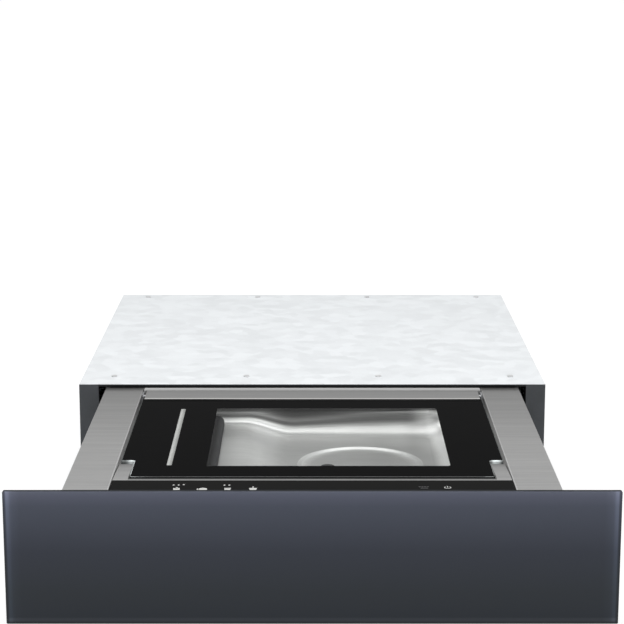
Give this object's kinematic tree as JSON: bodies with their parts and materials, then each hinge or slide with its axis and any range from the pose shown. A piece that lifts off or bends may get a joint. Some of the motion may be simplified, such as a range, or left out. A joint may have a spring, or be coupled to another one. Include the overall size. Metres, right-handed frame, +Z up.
{
  "type": "vacuum sealing drawer",
  "caption": "Built-in kitchen drawer with a glass-lidded steel vacuum chamber, lifting sealing bar, pump and full-extension runners in a sheet-metal casing.",
  "frame": {"origin": "middle of the casing underside, in the plane of the front flanges", "axes": "+X to the right seen from the room, +Y into the cabinet, +Z up"},
  "size_m": [0.597, 0.98, 0.135],
  "materials": {
    "front_glass": "satin glass, slate blue",
    "carrier_steel": "dark powder coat",
    "buffer_rubber": "matt",
    "zinc_sheet": "galvanised",
    "frame_paint": "satin dark grey",
    "inlet_plastic": "matt",
    "runner_steel": "zinc plated",
    "latch_plastic": "matt",
    "screw_steel": "zinc plated",
    "tub_steel": "plain sheet",
    "trim_steel": "brushed across",
    "control_glass": "gloss black",
    "board_green": "circuit board",
    "bowl_steel": "satin pressed",
    "black_plastic": "matt",
    "bar_aluminium": "anodised",
    "heater_wire": "flat band",
    "clear_glass": "polished",
    "mask_black": "gloss black",
    "seal_rubber": "matt silicone",
    "silicone_grey": "light silicone",
    "spring_steel": "spring wire",
    "motor_steel": "grey paint",
    "pump_aluminium": "cast",
    "saddle_rubber": "matt",
    "rotor_steel": "machined",
    "fan_plastic": "matt",
    "coil_copper": "varnished",
    "hose_rubber": "matt"
  },
  "bodies": {
    "casing": {"casing_base": "zinc_sheet", "casing_wall_left": "zinc_sheet", "casing_wall_right": "zinc_sheet", "casing_rear": "zinc_sheet", "casing_top": "zinc_sheet", "front_flange_left": "frame_paint", "front_flange_right": "frame_paint", "top_lip": "frame_paint", "mains_inlet": "inlet_plastic", "runner_brackets": "runner_steel", "runner_outer_left": "runner_steel", "runner_outer_right": "runner_steel", "latch_body": "latch_plastic", "casing_screws": "screw_steel"},
    "drawer": {"front_glass": "front_glass", "front_carrier": "carrier_steel", "front_buffers": "buffer_rubber", "drawer_floor": "tub_steel", "drawer_wall_left": "tub_steel", "drawer_wall_right": "tub_steel", "drawer_rear": "tub_steel", "side_trim_left": "trim_steel", "side_trim_right": "trim_steel", "control_housing": "black_plastic", "control_glass": "control_glass", "control_board": "board_green", "front_bar": "trim_steel", "rear_cover": "trim_steel", "chamber_bowl": "bowl_steel", "port_cap": "black_plastic", "seal_bar_carrier": "black_plastic", "lift_cylinders": "black_plastic", "hinge_brackets": "runner_steel", "hinge_springs": "spring_steel", "motor_case": "motor_steel", "pump_mounts": "saddle_rubber", "pump_head": "pump_aluminium", "fan_housing": "fan_plastic", "transformer": "coil_copper", "power_board": "board_green", "valve_block": "pump_aluminium", "suction_hose": "hose_rubber", "runner_inner_left": "runner_steel", "runner_inner_right": "runner_steel"},
    "runner_left": {"runner_middle_left": "runner_steel", "ball_cage_left": "screw_steel"},
    "runner_right": {"runner_middle_right": "runner_steel", "ball_cage_right": "screw_steel"},
    "lid": {"lid_glass": "clear_glass", "lid_mask": "mask_black", "lid_seal": "seal_rubber", "counter_bar": "silicone_grey", "hinge_bar": "trim_steel", "hinge_pins": "rotor_steel"},
    "sealing_bar": {"seal_bar": "bar_aluminium", "heater_wires": "heater_wire", "lift_pistons": "rotor_steel"},
    "pump_rotor": {"pump_rotor": "rotor_steel"},
    "fan_rotor": {"fan_rotor": "fan_plastic"},
    "latch_plunger": {"latch_plunger": "latch_plastic"}
  },
  "joints": [
    {"name": "drawer_slide", "type": "slide", "parent": "casing", "child": "drawer", "axis": [0, -1, 0], "range_m": [-0.417, 0]},
    {"name": "runner_left_slide", "type": "slide", "parent": "casing", "child": "runner_left", "axis": [0, -1, 0], "range_m": [-0.2085, 0]},
    {"name": "runner_right_slide", "type": "slide", "parent": "casing", "child": "runner_right", "axis": [0, -1, 0], "range_m": [-0.2085, 0]},
    {"name": "lid_hinge", "type": "hinge", "parent": "drawer", "child": "lid", "pos_m": [0, -0.027, 0.1166], "axis": [-1, 0, 0], "range_deg": [0, 78]},
    {"name": "seal_bar_lift", "type": "slide", "parent": "drawer", "child": "sealing_bar", "axis": [0, 0, 1], "range_m": [0, 0.005]},
    {"name": "pump_spin", "type": "hinge", "parent": "drawer", "child": "pump_rotor", "pos_m": [0, 0.034, 0.054], "axis": [1, 0, 0], "continuous": true},
    {"name": "fan_spin", "type": "hinge", "parent": "drawer", "child": "fan_rotor", "pos_m": [0.15, 0.08, 0.06], "axis": [0, 1, 0], "continuous": true},
    {"name": "latch_press", "type": "slide", "parent": "casing", "child": "latch_plunger", "axis": [0, 1, 0], "range_m": [0, 0.004], "stiffness_N_per_m": 300, "springref_m": -0.002}
  ],
  "couplings": [
    {"joint": "runner_left_slide", "follows": "drawer_slide", "ratio": 0.5},
    {"joint": "runner_right_slide", "follows": "drawer_slide", "ratio": 0.5}
  ]
}
